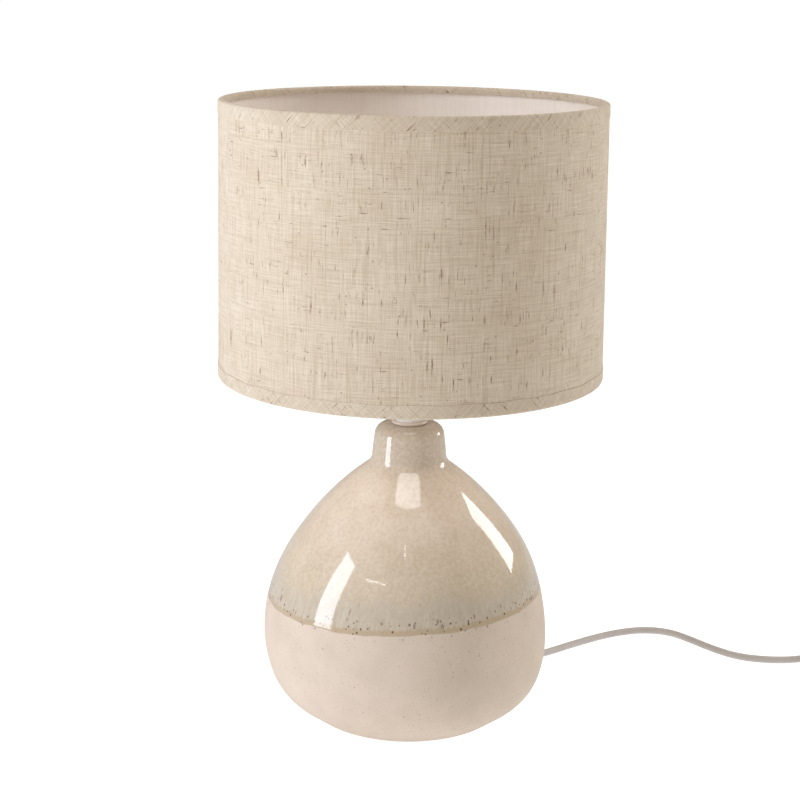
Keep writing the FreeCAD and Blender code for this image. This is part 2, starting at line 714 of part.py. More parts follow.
def plug_pins():
    """Two round pins: a core through the sleeve and a full-size round-ended tip."""
    away = Vector(0, -1, 0)
    pins = []
    for root in pin_places():
        core = Part.makeCylinder(1.5, 10.0, root, away)
        tip = Part.makeCylinder(PIN_RADIUS, PIN_LENGTH - 10.0, root + away * 10.0, away)
        end = (root + away * PIN_LENGTH).y
        tip = rounded(tip, 1.0, lambda edge: edge.BoundBox.YMax < end + 0.01)
        pins.append(core.fuse(tip).removeSplitter())
    return Part.makeCompound(pins)


# ---------------------------------------------------------------- all the parts

def main():
    """Make and write every sub-part."""
    os.makedirs("parts", exist_ok=True)

    save("ceramic_body", ceramic_body())
    save("base_cover", disc(COVER_SEAT_RADIUS - 0.3, FELT, FELT + COVER_THICKNESS - 0.05))
    save("felt_pad", disc(61.0, 0, FELT))
    save("cord_bush", cord_bush())
    save("bush_nut", bush_nut())
    save("cord_stop", cord_stop())
    save("neck_tube", neck_tube())
    save("neck_washer", neck_washer())
    save("rubber_washer", ring(14.0, 5.2, 192.5, 194.0))
    save("steel_washer", ring(13.0, 5.2, 191.3, 192.5))
    save("neck_nut", hex_nut(14.0, 5.05, 186.3, 191.3))

    save("holder_base", holder_base())
    save("holder_shell", holder_shell())
    save("holder_core", holder_core())
    save("centre_contact", centre_contact())
    save("side_contact", side_contact())
    save("terminal_screws", terminal_screws())
    save("live_wire", lamp_wire(-1))
    save("neutral_wire", lamp_wire(1))
    save("ring_nut", ring_nut())

    layers = SHADE_BOTTOM + TAPE + 0.05, SHADE_TOP - TAPE - 0.05
    save("shade_fabric", shade_layer(TAPE + 0.02, TAPE + FABRIC, *layers))
    save("shade_liner", shade_layer(TAPE + FABRIC + 0.05, TAPE + FABRIC + LINER, *layers))
    save("top_wire_ring", wire_ring(SHADE_TOP, -1))
    save("bottom_wire_ring", wire_ring(SHADE_BOTTOM, 1))
    save("carrier_ring", carrier_ring())
    save("top_tape", shade_tape(SHADE_TOP, -1))
    bottom_tape = shade_tape(SHADE_BOTTOM, 1)
    for number, angle in enumerate(ARM_ANGLES, start=1):
        bottom_tape = bottom_tape.cut(spider_arm(angle, WIRE + 0.2))
        arm = spider_arm(angle, WIRE).cut(carrier_ring()).cut(wire_ring(SHADE_BOTTOM, 1))
        save(f"spider_arm_{number}", max(arm.Solids, key=lambda solid: solid.Volume))
    save("bottom_tape", bottom_tape)

    save("bulb_globe", bulb_globe())
    save("bulb_collar", bulb_collar())
    save("bulb_screw_cap", bulb_screw_cap())
    save("bulb_insulator", bulb_insulator())
    save("bulb_tip", bulb_tip())

    save("inner_cord", inner_cord())
    save("cord_lead", cord_lead())
    save("cord_mid", cord_mid())
    save("cord_coil", cord_coil())
    save("coil_tie", coil_tie())
    save("cord_tail", cord_tail())

    save("switch_lower_shell", switch_lower_shell())
    save("switch_upper_shell", switch_upper_shell())
    save("switch_rocker", switch_rocker())
    save("switch_pivot", switch_pivot())
    save("switch_contacts", switch_contacts())
    save("switch_cord_clamps", switch_cord_clamps())
    save("switch_screws", switch_screws())
    save("plug_body", plug_body())
    save("plug_relief", plug_relief())
    save("plug_sleeves", plug_sleeves())
    save("plug_pins", plug_pins())


main()
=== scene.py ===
import bpy
import math
from mathutils import Matrix, Vector


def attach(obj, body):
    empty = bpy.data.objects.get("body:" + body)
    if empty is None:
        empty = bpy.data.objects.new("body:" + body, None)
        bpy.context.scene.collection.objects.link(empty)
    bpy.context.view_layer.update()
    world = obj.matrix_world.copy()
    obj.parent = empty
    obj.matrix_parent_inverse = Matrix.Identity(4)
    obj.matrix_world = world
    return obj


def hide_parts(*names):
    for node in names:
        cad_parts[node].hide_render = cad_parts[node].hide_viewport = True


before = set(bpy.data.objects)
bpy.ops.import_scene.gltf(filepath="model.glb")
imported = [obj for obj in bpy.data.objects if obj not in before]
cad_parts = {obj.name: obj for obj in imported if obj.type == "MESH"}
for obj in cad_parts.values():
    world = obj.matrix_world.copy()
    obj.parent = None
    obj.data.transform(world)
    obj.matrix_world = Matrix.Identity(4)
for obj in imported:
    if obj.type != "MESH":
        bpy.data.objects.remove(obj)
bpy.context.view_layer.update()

# ---------------------------------------------------------------- camera
# A long lens at half a metre above the table, in front of the lamp and a little to its left, tipped down
# until the open top of the shade shows as a thin ellipse.
CAMERA_PLACE = (-0.0065, -1.139, 0.4974)
CAMERA_DIP, CAMERA_ROLL = math.radians(13.97), math.radians(0.7)
camera_data = bpy.data.cameras.new("camera")
camera_data.sensor_width = 36.0
camera_data.lens = 80.6
camera = bpy.data.objects.new("camera", camera_data)
bpy.context.scene.collection.objects.link(camera)
stand = Matrix.Translation(CAMERA_PLACE)
tip = Matrix.Rotation(math.radians(90) - CAMERA_DIP, 4, "X")
roll = Matrix.Rotation(CAMERA_ROLL, 4, "Z")
camera.matrix_world = stand @ tip @ roll
bpy.context.scene.camera = camera


# ---------------------------------------------------------------- lead from the base to the switch
# Round two-core flexible lead, 5 mm, with a soft PVC jacket that keeps a faint drag grain and fine dust.
# It leaves the bush downwards, lies on the table in one slow bend and rises into the in-line switch.
def start_finish(name, **sockets):
    """A new material and its shader; what is the same all over is set on the shader itself."""
    material = bpy.data.materials.new(name)
    material.use_nodes = True
    shader = material.node_tree.nodes["Principled BSDF"]
    for socket, value in sockets.items():
        shader.inputs[socket.replace("_", " ")].default_value = value
    return material, shader


def add_node(material, kind, settings, feeds):
    """One more node; its feeds are plain values or the outputs that lead into it."""
    node = material.node_tree.nodes.new("ShaderNode" + kind)
    for name, value in settings.items():
        setattr(node, name, value)
    for socket, value in feeds.items():
        if isinstance(value, bpy.types.NodeSocket):
            material.node_tree.links.new(value, node.inputs[socket])
        else:
            node.inputs[socket].default_value = value
    return node


def join(material, output, shader, socket):
    """Lead an output into one of the shader's sockets."""
    material.node_tree.links.new(output, shader.inputs[socket])


def places(material, stretch=(1, 1, 1), turn=(0, 0, 0)):
    """Coordinates in metres, stretched or turned for a pattern."""
    origin = add_node(material, "TexCoord", {}, {}).outputs["Object"]
    feeds = {"Vector": origin, "Scale": stretch, "Rotation": turn}
    return add_node(material, "Mapping", {}, feeds).outputs[0]


def cloud(material, where, scale, detail=2.0, roughness=0.5):
    """Soft noise from 0 to 1; scale is its patches to a metre."""
    feeds = {"Vector": where, "Scale": scale, "Detail": detail, "Roughness": roughness}
    return add_node(material, "TexNoise", {}, feeds).outputs[0]


def reckon(material, operation, first, second=0.0):
    """Arithmetic on two values."""
    return add_node(material, "Math", {"operation": operation}, {0: first, 1: second}).outputs[0]


def scaled(material, value, factor):
    """A value times a number or another value."""
    return reckon(material, "MULTIPLY", value, factor)


def fade(material, value, start, end, low=0.0, high=1.0):
    """The value's passage from start to end as a smooth step from low to high."""
    feeds = {"Value": value, "From Min": start, "From Max": end, "To Min": low, "To Max": high}
    return add_node(material, "MapRange", {"interpolation_type": "SMOOTHSTEP"}, feeds).outputs[0]


def shades(material, value, stops):
    """Colours along a value; each stop is its position and its colour."""
    node = add_node(material, "ValToRGB", {}, {"Fac": value})
    band = node.color_ramp
    while len(band.elements) < len(stops):
        band.elements.new(0.5)
    for element, (position, colour) in zip(band.elements, stops):
        element.position = position
        element.color = (*colour, 1.0)
    return node.outputs[0]


def blend(material, share, below, above):
    """Two colours mixed by a share; a colour is three numbers or an output."""
    node = add_node(material, "Mix", {"data_type": "RGBA"}, {0: share})
    for index, colour in ((6, below), (7, above)):
        if isinstance(colour, bpy.types.NodeSocket):
            material.node_tree.links.new(colour, node.inputs[index])
        else:
            node.inputs[index].default_value = (*colour, 1.0)
    return node.outputs[2]


def mix_values(material, share, below, above):
    """Two plain values mixed by a share."""
    return add_node(material, "Mix", {"data_type": "FLOAT"}, {0: share, 2: below, 3: above}).outputs[0]


def relief(material, height, distance, strength=1.0, under=None):
    """Bump from a height between 0 and 1 that stands for a distance in metres."""
    feeds = {"Height": height, "Distance": distance, "Strength": strength}
    if under:
        feeds["Normal"] = under
    return add_node(material, "Bump", {}, feeds).outputs[0]


def spots(material, where, scale, size, share):
    """Round specks: their cells to a metre, their largest radius in cells, and how many cells have one."""
    cells = add_node(material, "TexVoronoi", {}, {"Vector": where, "Scale": scale})
    chosen = add_node(material, "SeparateColor", {}, {"Color": cells.outputs["Color"]})
    kept = reckon(material, "LESS_THAN", chosen.outputs[0], share)
    radius = scaled(material, chosen.outputs[1], size)
    edge = reckon(material, "SUBTRACT", radius, cells.outputs["Distance"])
    return scaled(material, fade(material, edge, 0.0, size * 0.3), kept)


def moulded_plastic(name, colour, roughness, grain):
    """Injection-moulded plastic: fine spark-eroded grain, faint flow clouds and a little handling wear."""
    material, shader = start_finish(name, Specular_IOR_Level=0.5, IOR=1.46)
    where = places(material)
    flow = cloud(material, where, 60, 3)
    pale = tuple(min(1.0, channel * 1.06) for channel in colour)
    deep = tuple(channel * 0.93 for channel in colour)
    tint = shades(material, flow, [(0.3, deep), (0.7, pale)])
    dust = spots(material, where, 900, 0.35, 0.12)
    join(material, blend(material, scaled(material, dust, 0.2), tint, deep), shader, "Base Color")
    rub = cloud(material, where, 210, 4, 0.6)
    join(material, fade(material, rub, 0.3, 0.75, roughness - 0.06, roughness + 0.1), shader, "Roughness")
    skin = cloud(material, where, 2600, 2, 0.6)
    join(material, relief(material, skin, grain), shader, "Normal")
    return material


def lay_cord(name, route, thickness):
    """A cord as one smooth spline with the route's points as its control points."""
    curve = bpy.data.curves.new(name, "CURVE")
    curve.dimensions = "3D"
    spline = curve.splines.new("NURBS")
    spline.points.add(len(route) - 1)
    for point, place in zip(spline.points, route):
        point.co = (*place, 1.0)
    spline.order_u = 3
    spline.use_endpoint_u = True
    spline.resolution_u = 8
    curve.bevel_depth = thickness / 2
    curve.bevel_resolution = 5
    curve.use_fill_caps = True
    cord = bpy.data.objects.new(name, curve)
    bpy.context.scene.collection.objects.link(cord)
    return cord


def cord_jacket():
    """Grey PVC jacket: a soft sheen, faint clouds and a fine drag grain."""
    material, shader = start_finish("cord_jacket", Specular_IOR_Level=0.45, IOR=1.48, Sheen_Weight=0.08)
    where = places(material)
    deep, pale = (0.50, 0.46, 0.435), (0.57, 0.53, 0.505)
    tint = shades(material, cloud(material, where, 90, 3), [(0.3, deep), (0.7, pale)])
    dust = spots(material, where, 1200, 0.4, 0.15)
    tint = blend(material, scaled(material, dust, 0.35), tint, (0.68, 0.64, 0.60))
    join(material, tint, shader, "Base Color")
    join(material, fade(material, cloud(material, where, 300, 3), 0.3, 0.7, 0.42, 0.56), shader, "Roughness")
    join(material, relief(material, cloud(material, where, 2200, 2), 0.00006), shader, "Normal")
    return material


CORD_THICKNESS = 0.005
ON_TABLE, IN_SWITCH, IN_PLUG = 0.00255, 0.0065, 0.007
LEAD_ROUTE = [(0.07865, 0.06837, 0.00948), (0.09132, 0.07938, 0.0034), (0.10641, 0.0925, ON_TABLE),
              (0.123, 0.1062, ON_TABLE), (0.1405, 0.1196, ON_TABLE), (0.159, 0.1312, ON_TABLE),
              (0.180, 0.1383, ON_TABLE), (0.200, 0.1336, ON_TABLE), (0.214, 0.1175, ON_TABLE),
              (0.2275, 0.0998, ON_TABLE), (0.2435, 0.0854, ON_TABLE), (0.2645, 0.0804, ON_TABLE),
              (0.2855, 0.0818, ON_TABLE), (0.303, 0.0825, IN_SWITCH), (0.321, 0.0825, IN_SWITCH)]
grey_jacket = cord_jacket()
lead_to_switch = lay_cord("lead_to_switch", LEAD_ROUTE, CORD_THICKNESS)
lead_to_switch.data.materials.append(grey_jacket)
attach(lead_to_switch, "base")
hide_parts("cord_lead")


# ---------------------------------------------------------------- lead from the switch to the plug
# The rest of the same lead, in one length: down from the switch, seven and a half tied turns in two
# layers, each a cord's width from the next, and a short tail that curls round into the plug.
COIL_MIDDLE = (0.450, 0.047)
COIL_OUTER, COIL_INNER = 0.038, 0.0205
LAYER_TURNS, CLIMB_TURNS = 3.5, 0.5
TURN_STEPS = 16
STRAP_ANGLE = -40
STRAP_TURN = (90 - STRAP_ANGLE) / 360
STRAP_LIFT, STRAP_SPREAD, STRAP_EASE = 0.0009, 0.04, 0.05


def coil_place(turn, radius, height):
    """A place in the coil after so many turns, clockwise from its far side, eased up over the strap."""
    past_strap = abs((turn - STRAP_TURN + 0.5) % 1 - 0.5)
    lift = STRAP_LIFT * max(0.0, 1 - max(0.0, past_strap - STRAP_SPREAD) / STRAP_EASE)
    angle = math.radians(90) - turn * math.tau
    # The spline cuts the corners between its control points, so they stand a little outside the turn.
    reach = radius / math.cos(math.pi / TURN_STEPS) ** 0.8
    return (COIL_MIDDLE[0] + reach * math.cos(angle), COIL_MIDDLE[1] + reach * math.sin(angle), height + lift)


tail_route = [(0.375, 0.0825, IN_SWITCH), (0.392, 0.0825, IN_SWITCH),
              (0.409, 0.0834, ON_TABLE), (0.428, 0.0852, ON_TABLE)]
for step in range(int((2 * LAYER_TURNS + CLIMB_TURNS) * TURN_STEPS) + 1):
    turn = step / TURN_STEPS
    inwards = min(turn, LAYER_TURNS) / LAYER_TURNS
    outwards = max(0.0, turn - LAYER_TURNS - CLIMB_TURNS) / LAYER_TURNS
    climbed = min(1.0, max(0.0, (turn - LAYER_TURNS) / CLIMB_TURNS))
    radius = COIL_OUTER - (inwards - outwards) * (COIL_OUTER - COIL_INNER)
    tail_route.append(coil_place(turn, radius, ON_TABLE + climbed * CORD_THICKNESS))
tail_route += [(0.427, 0.0088, 0.0073), (0.409, 0.0084, 0.0034), (0.3934, -0.0006, ON_TABLE),
               (0.3844, -0.0162, ON_TABLE), (0.3844, -0.0332, IN_PLUG), (0.3844, -0.047, IN_PLUG)]
lead_to_plug = lay_cord("lead_to_plug", tail_route, CORD_THICKNESS)
lead_to_plug.data.splines[0].resolution_u = 5
lead_to_plug.data.materials.append(grey_jacket)
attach(lead_to_plug, "base")
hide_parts("cord_mid", "cord_coil", "cord_tail")


# ---------------------------------------------------------------- coil strap
# Black hook-and-loop strap, 9 mm wide, once round all the turns and lapped over itself on top. The loop
# side is a dense nap, and the lap's end is cut square.
def bare_scene():
    """Nothing selected, out of edit mode."""
    if bpy.context.mode != "OBJECT":
        bpy.ops.object.mode_set(mode="OBJECT")
    bpy.ops.object.select_all(action="DESELECT")


def named(name, material, body, slot, *nodes):
    """Name the piece just made, finish it, and let it ride and stand for its CAD nodes."""
    if bpy.context.mode != "OBJECT":
        bpy.ops.object.mode_set(mode="OBJECT")
    piece = bpy.context.object
    bpy.ops.object.transform_apply(location=True, rotation=True, scale=True)
    piece.name = piece.data.name = name
    piece.data.materials.clear()
    piece.data.materials.append(material)
    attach(piece, body)
    if nodes:
        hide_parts(*nodes)
    piece.select_set(False)
    return piece


def apply_modifier(kind, name, **settings):
    """Add a modifier to the piece in hand and apply it."""
    modifier = bpy.context.object.modifiers.new(name, kind)
    for setting, value in settings.items():
        setattr(modifier, setting, value)
    bpy.ops.object.modifier_apply(modifier=name)


def pick(test, kind="VERT"):
    """In edit mode, select just the vertices, edges or faces whose middle passes the test."""
    bpy.ops.mesh.select_mode(type="VERT")
    bpy.ops.mesh.select_all(action="DESELECT")
    bpy.ops.mesh.select_mode(type=kind)
    bpy.ops.object.mode_set(mode="OBJECT")
    mesh = bpy.context.object.data
    if kind == "VERT":
        for vertex in mesh.vertices:
            vertex.select = test(vertex.co)
    elif kind == "EDGE":
        for edge in mesh.edges:
            ends = [mesh.vertices[index].co for index in edge.vertices]
            edge.select = test((ends[0] + ends[1]) / 2)
    else:
        for face in mesh.polygons:
            face.select = test(face.center)
    bpy.ops.object.mode_set(mode="EDIT")


def strap_nap():
    """Black nylon nap: tufts, a woven edge tone and a soft sheen."""
    material, shader = start_finish("strap_nap", Specular_IOR_Level=0.3, Sheen_Weight=0.35,
                                    Sheen_Roughness=0.4)
    where = places(material)
    tufts = cloud(material, where, 1500, 4, 0.65)
    lint = spots(material, where, 700, 0.4, 0.06)
    tint = shades(material, tufts, [(0.3, (0.012, 0.012, 0.013)), (0.7, (0.045, 0.044, 0.046))])
    tint = blend(material, scaled(material, lint, 0.4), tint, (0.3, 0.29, 0.28))
    join(material, tint, shader, "Base Color")
    join(material, fade(material, tufts, 0.2, 0.8, 0.95, 0.7), shader, "Roughness")
    join(material, relief(material, tufts, 0.0004), shader, "Normal")
    return material


STRAP_WIDTH, STRAP_THICKNESS, STRAP_CORNER = 0.009, 0.0008, 0.003
STRAP_IN, STRAP_OUT, STRAP_LOW, STRAP_HIGH = 0.0168, 0.0413, 0.0004, 0.0115
LAP_START, LAP_SHIFT, LAP_THICKNESS = 0.0225, -0.001, 0.0007
bare_scene()
bpy.ops.mesh.primitive_plane_add(size=1, location=(0, 0, 0))
strap_plane = bpy.context.object
strap_plane.scale = (STRAP_OUT - STRAP_IN, STRAP_HIGH - STRAP_LOW, 1)
strap_plane.rotation_euler = (math.radians(90), 0, 0)
strap_plane.location = ((STRAP_IN + STRAP_OUT) / 2, 0, (STRAP_LOW + STRAP_HIGH) / 2)
bpy.ops.object.transform_apply(location=True, rotation=True, scale=True)
bpy.ops.object.mode_set(mode="EDIT")
bpy.ops.mesh.select_all(action="SELECT")
bpy.ops.mesh.bevel(offset=STRAP_CORNER, segments=5, affect="VERTICES")
bpy.ops.mesh.select_all(action="SELECT")
bpy.ops.mesh.delete(type="ONLY_FACE")
bpy.ops.mesh.select_all(action="SELECT")
bpy.ops.transform.translate(value=(0, -STRAP_WIDTH / 2, 0))
bpy.ops.mesh.extrude_region_move(TRANSFORM_OT_translate={"value": (0, STRAP_WIDTH, 0)})
bpy.ops.mesh.select_all(action="SELECT")
bpy.ops.mesh.normals_make_consistent(inside=False)
bpy.ops.object.mode_set(mode="OBJECT")
apply_modifier("SOLIDIFY", "strap_web", thickness=STRAP_THICKNESS, offset=0.0)
bpy.ops.object.mode_set(mode="EDIT")
pick(lambda middle: middle.z > STRAP_HIGH - 0.0001 and middle.x > LAP_START, "FACE")
bpy.ops.mesh.duplicate_move(TRANSFORM_OT_translate={"value": (LAP_SHIFT, 0, 0.0001)})
bpy.ops.mesh.extrude_region_move(TRANSFORM_OT_translate={"value": (0, 0, LAP_THICKNESS)})
bpy.ops.mesh.select_all(action="SELECT")
bpy.ops.mesh.normals_make_consistent(inside=False)
bpy.ops.object.mode_set(mode="OBJECT")
bpy.context.object.rotation_euler = (0, 0, math.radians(STRAP_ANGLE))
bpy.context.object.location = (*COIL_MIDDLE, 0)
apply_modifier("BEVEL", "strap_edge", width=0.00015, segments=2)
bpy.ops.object.shade_smooth_by_angle(angle=math.radians(40))
coil_strap = named("coil_strap", strap_nap(), "base", "strap", "coil_tie")


# ---------------------------------------------------------------- stoneware body
# Jiggered stoneware bottle, raw below and dipped upside down above, so the glaze stops in one clean line
# round the belly, a little out of level. Its edge pooled into a grey streaked band over a brown seam.
BELLY_RADIUS, BELLY_HEIGHT = 0.0948, 0.055
FOOT_HEIGHT, FOOT_HOLE = 0.0015, 0.050
NECK_TOP, NECK_HOLE = 0.199, 0.0053
NECK_FILLET, NECK_EDGE = 0.0096, 0.008
NECK_EDGE_MIDDLE = (0.01507, NECK_TOP - NECK_EDGE)
CLAY_WALL = 0.005
GLAZE_LINE, DIP_SLOPE = 0.0846, 0.04


def template(radius, height, upward, arcs):
    """The stations (radius, height) along the jigger's template, from arcs that run on from each other."""
    lean, stations = 0.0, []
    for size, end, steps in arcs:
        start, stop = math.radians(lean), math.radians(end)
        side = 1 if end > lean else -1
        middle = (radius - side * size * math.cos(start), height - upward * side * size * math.sin(start))
        for step in range(1, steps + 1):
            angle = start + (stop - start) * step / steps
            stations.append((middle[0] + side * size * math.cos(angle),
                             middle[1] + upward * side * size * math.sin(angle)))
        radius, height = stations[-1]
        lean = end
    return stations


def leaning(degrees):
    """A direction in the template's plane, so many degrees up from level."""
    return Vector((math.cos(math.radians(degrees)), math.sin(math.radians(degrees))))


# Shoulder in two arcs and a short straight, the hollow under the neck, the neck, and its rounded edge.
SHOULDER_LEAN = 53
upper = template(BELLY_RADIUS, BELLY_HEIGHT, 1, [(0.122, 33, 20), (0.190, SHOULDER_LEAN, 14)])
upper.append((upper[-1][0] - 0.0019, upper[-1][1] + 0.00144))
hollow_middle = Vector(upper[-1]) + NECK_FILLET * leaning(SHOULDER_LEAN)
upper += [tuple(hollow_middle - NECK_FILLET * leaning(lean)) for lean in range(47, 5, -6)]
neck_foot = upper[-1]
upper += [(neck_foot[0] - 0.00055, neck_foot[1] + 0.006), (0.0230, 0.1918)]
upper += [tuple(Vector(NECK_EDGE_MIDDLE) + NECK_EDGE * leaning(lean)) for lean in range(16, 90, 10)]
upper += [(0.0135, NECK_TOP), (0.0095, NECK_TOP), (NECK_HOLE, NECK_TOP)]
lower = template(BELLY_RADIUS, BELLY_HEIGHT, -1, [(0.079, 19, 10), (0.0386, 54, 12)])
lower += [(0.0700, 0.00576), (0.0650, 0.00213), (0.0641, FOOT_HEIGHT), (0.0625, FOOT_HEIGHT),
          (0.056, FOOT_HEIGHT)]


def stoneware_finish():
    """Raw speckled clay below the glaze line, warm glaze above it, and the streaked band between."""
    material, shader = start_finish("glazed_stoneware", Specular_IOR_Level=0.5, IOR=1.5)
    where = places(material)
    axes = add_node(material, "SeparateXYZ", {}, {"Vector": where})
    height = axes.outputs[2]
    # The line is straight but out of level, and its edge wavers by half a millimetre.
    dip = reckon(material, "ADD", scaled(material, axes.outputs[0], DIP_SLOPE), GLAZE_LINE)
    ripple = cloud(material, places(material, (1, 1, 0.02)), 45, 3)
    waver = fade(material, ripple, 0.25, 0.75, -0.0006, 0.0006)
    above = reckon(material, "SUBTRACT", height, reckon(material, "ADD", dip, waver))
    glazed = fade(material, above, -0.0002, 0.0003)
    # Raw clay: pale pink-cream, a sandy grain, many faint iron specks and a few strong ones.
    clay = shades(material, cloud(material, where, 38, 4, 0.6),
                  [(0.3, (0.60, 0.50, 0.41)), (0.55, (0.65, 0.545, 0.45)), (0.8, (0.675, 0.57, 0.475))])
    sand = cloud(material, where, 1500, 2, 0.7)
    clay = blend(material, fade(material, sand, 0.35, 0.75, 0.0, 0.12), clay, (0.43, 0.34, 0.265))
    crowd = fade(material, cloud(material, where, 30, 2), 0.38, 0.62, 0.35, 1.0)
    iron = spots(material, where, 560, 0.36, 0.8)
    big_iron = spots(material, places(material, (1, 1, 1), (0.4, 0.7, 0.2)), 150, 0.17, 0.35)
    iron = reckon(material, "MAXIMUM", scaled(material, iron, 0.5), big_iron)
    iron = scaled(material, iron, scaled(material, crowd, 0.75))
    clay = blend(material, iron, clay, (0.25, 0.165, 0.105))
    # Glaze: warm pinkish beige, curdled and finely mottled, more olive lower down, and darkened on the neck
    # as painted shade from the lampshade above it.
    curds = cloud(material, places(material, (1, 1, 0.35)), 60, 5, 0.62)
    glaze = shades(material, curds,
                   [(0.25, (0.605, 0.49, 0.37)), (0.5, (0.67, 0.555, 0.44)), (0.75, (0.72, 0.62, 0.51))])
    olive = fade(material, above, 0.018, 0.062, 0.62, 0.0)
    glaze = blend(material, olive, glaze, (0.545, 0.455, 0.325))
    # Painted shade: from 166 mm up, the neck's glaze is darkened towards brown to stand for the lampshade's
    # shadow.
    neck_painted_shade = fade(material, height, 0.166, 0.180, 0.0, 0.75)
    glaze = blend(material, neck_painted_shade, glaze, (0.48, 0.405, 0.315))
    fine = cloud(material, where, 420, 3, 0.7)
    glaze = blend(material, fade(material, fine, 0.45, 0.7, 0.0, 0.42), glaze, (0.72, 0.635, 0.53))
    glaze = blend(material, fade(material, fine, 0.34, 0.52, 0.3, 0.0), glaze, (0.475, 0.385, 0.285))
    # Band: the first two centimetres, grey where it pooled, with fine upright streaks.
    drip = cloud(material, places(material, (1, 1, 0.06)), 420, 3, 0.6)
    wide_drip = cloud(material, places(material, (1, 1, 0.08)), 70, 2)
    top = reckon(material, "ADD", fade(material, drip, 0.3, 0.7, -0.004, 0.004),
                 fade(material, wide_drip, 0.3, 0.7, -0.0035, 0.0035))
    in_band = fade(material, reckon(material, "SUBTRACT", above, top), 0.010, 0.027, 1.0, 0.0)
    milky = shades(material, drip,
                   [(0.3, (0.45, 0.385, 0.305)), (0.52, (0.515, 0.45, 0.365)), (0.72, (0.58, 0.52, 0.43))])
    glaze = blend(material, scaled(material, in_band, 0.8), glaze, milky)
    smear = spots(material, places(material, (1, 1, 0.36)), 290, 0.42, 0.5)
    near_line = fade(material, above, 0.005, 0.026, 1.0, 0.0)
    smear = scaled(material, smear, scaled(material, near_line, 0.72))
    glaze = blend(material, smear, glaze, (0.20, 0.155, 0.115))
    # Seam: the thin brown edge of the pooled glaze, with iron burnt dark along it.
    edge_drip = fade(material, drip, 0.3, 0.7, -0.0008, 0.0008)
    seam = fade(material, reckon(material, "ADD", above, edge_drip), 0.0026, 0.0046, 1.0, 0.0)
    glaze = blend(material, scaled(material, seam, 0.88), glaze, (0.475, 0.37, 0.25))
    dark_iron = spots(material, places(material, (1, 1, 0.8), (0.3, 0.1, 0.5)), 430, 0.42, 0.95)
    from_seam = reckon(material, "ABSOLUTE", reckon(material, "SUBTRACT", above, 0.0035))
    at_line = fade(material, from_seam, 0.001, 0.0085, 1.0, 0.0)
    spotted = scaled(material, dark_iron, scaled(material, at_line, 0.9))
    colour = blend(material, glazed, clay, glaze)
    join(material, blend(material, spotted, colour, (0.10, 0.062, 0.04)), shader, "Base Color")
    # Surface: dry and gritty below, wet and gently swelling above, with a lip where the glaze begins.
    dry = fade(material, sand, 0.3, 0.7, 0.62, 0.78)
    wet = fade(material, cloud(material, where, 140, 3), 0.3, 0.7, 0.045, 0.085)
    join(material, mix_values(material, glazed, dry, wet), shader, "Roughness")
    gritty = scaled(material, sand, reckon(material, "SUBTRACT", 1.0, glazed))
    surface = relief(material, gritty, 0.00016)
    swell = cloud(material, where, 34, 2)
    surface = relief(material, swell, 0.0004, 0.5, surface)
    lip = fade(material, above, -0.0003, 0.0009)
    join(material, relief(material, lip, 0.00035, 0.8, surface), shader, "Normal")
    return material


def follow_stations(stations):
    """In edit mode, extrude the selected ring from station to station up or down the template."""
    for (radius, height), (next_radius, next_height) in zip(stations, stations[1:]):
        bpy.ops.mesh.extrude_region_move(TRANSFORM_OT_translate={"value": (0, 0, next_height - height)})
        grow = next_radius / radius
        bpy.ops.transform.resize(value=(grow, grow, 1), center_override=(0, 0, 0))


def start_ring(radius, height, sides):
    """A circle of vertices about the lamp's axis, selected in edit mode."""
    bare_scene()
    bpy.ops.mesh.primitive_circle_add(vertices=sides, radius=radius, location=(0, 0, height),
                                      fill_type="NOTHING")
    bpy.ops.object.transform_apply(location=True, rotation=True, scale=True)
    bpy.ops.object.mode_set(mode="EDIT")
    bpy.ops.mesh.select_mode(type="VERT")
    bpy.ops.mesh.select_all(action="SELECT")


start_ring(FOOT_HOLE, FOOT_HEIGHT, 144)
up_the_wall = [(FOOT_HOLE, FOOT_HEIGHT)] + lower[::-1] + [(BELLY_RADIUS, BELLY_HEIGHT)] + upper
follow_stations(up_the_wall)
# The pot slumped a touch to one side as it dried.
SLUMP_HEIGHT, SLUMP_REACH, SLUMP = 0.0722, 0.062, (-0.0016, 0.0004, 0)
pick(lambda place: abs(place.z - SLUMP_HEIGHT) < 0.003)
bpy.ops.transform.translate(value=SLUMP, use_proportional_edit=True,
                            proportional_edit_falloff="SMOOTH", proportional_size=SLUMP_REACH)
bpy.ops.mesh.select_all(action="SELECT")
bpy.ops.mesh.normals_make_consistent(inside=False)
bpy.ops.object.mode_set(mode="OBJECT")
apply_modifier("SOLIDIFY", "clay_wall", thickness=CLAY_WALL, offset=-1.0)
bpy.ops.object.shade_smooth_by_angle(angle=math.radians(50))
named("stoneware_body", stoneware_finish(), "base", "glazed_stoneware", "ceramic_body")


# ---------------------------------------------------------------- shade linen
# Slubby natural linen, laminated to the lining and lapped at the back. Thin and thick flax threads make
# the weave uneven, and darker slubs show as short dashes along both threads.
SHADE_TOP, SHADE_BOTTOM = 0.409, 0.233
TOP_RADIUS, BOTTOM_RADIUS = 0.123, 0.125
ROUND = 192
EDGE_GAP = 0.0005
TAPE_DEPTH, LINEN_DEPTH, LINING_DEPTH = 0.0003, 0.0007, 0.00045
LAP_REACH, LAP_DEPTH = 0.006, 0.0005
THREAD_PITCH = 0.00068


def shade_radius(height):
    """Outside radius of the tapered shade over its tapes."""
    share = (height - SHADE_BOTTOM) / (SHADE_TOP - SHADE_BOTTOM)
    return BOTTOM_RADIUS + share * (TOP_RADIUS - BOTTOM_RADIUS)


